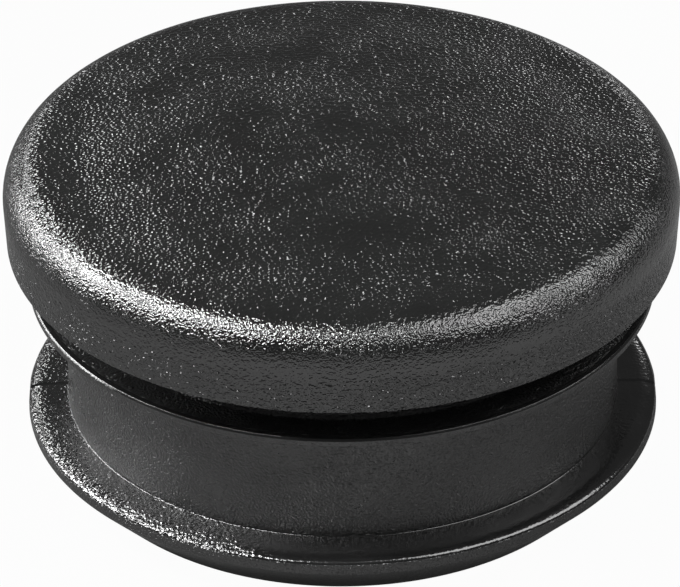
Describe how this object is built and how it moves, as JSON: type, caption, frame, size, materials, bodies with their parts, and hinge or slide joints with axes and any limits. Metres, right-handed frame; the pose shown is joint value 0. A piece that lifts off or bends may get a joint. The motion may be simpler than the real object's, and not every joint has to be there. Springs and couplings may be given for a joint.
{
  "type": "tube insert plug",
  "caption": "Round black plastic tube plug: a domed, grained head over a hollow neck with sealing lips, pressed into a tube's bore to close its cut end.",
  "frame": {"origin": "centre of the foot's end rim, on the axis of the plug, where it stands", "axes": "+Z along the axis of the plug, from the foot up to the head; X and Y are equal by symmetry, with the mould's split line on the X axis"},
  "size_m": [0.04, 0.04, 0.0207],
  "materials": {
    "plug_plastic": "black polyethylene with a spark-eroded mould grain, coarser on the head than on the neck and lips"
  },
  "bodies": {
    "root": {"tube_plug": "plug_plastic"}
  },
  "joints": []
}
